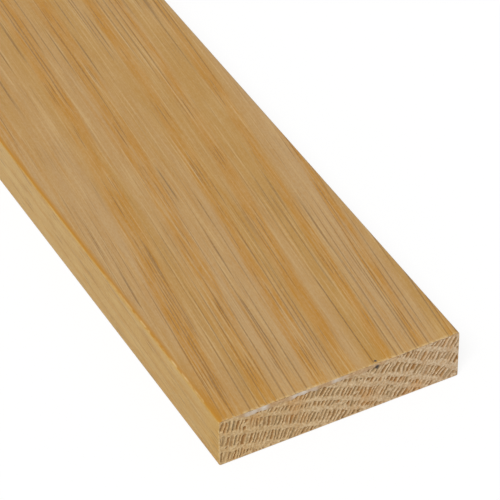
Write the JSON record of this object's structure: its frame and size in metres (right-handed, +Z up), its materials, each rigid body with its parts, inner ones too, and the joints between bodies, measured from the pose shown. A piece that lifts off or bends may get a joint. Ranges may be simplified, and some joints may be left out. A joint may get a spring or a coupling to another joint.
{
  "type": "threshold strip",
  "caption": "Flat square-edged solid oak board that is glued down in a doorway to bridge the joint between two floor coverings.",
  "frame": {"origin": "middle of the underside, the face that lies on the floor", "axes": "+X along the strip's length, +Y across its width, +Z up out of the tread"},
  "size_m": [0.9, 0.07, 0.015],
  "materials": {
    "oak": "satin clear lacquer on the tread and the long edges, bare saw-cut end grain on both ends, planed underside"
  },
  "bodies": {
    "root": {"oak_strip": "oak"}
  },
  "joints": []
}
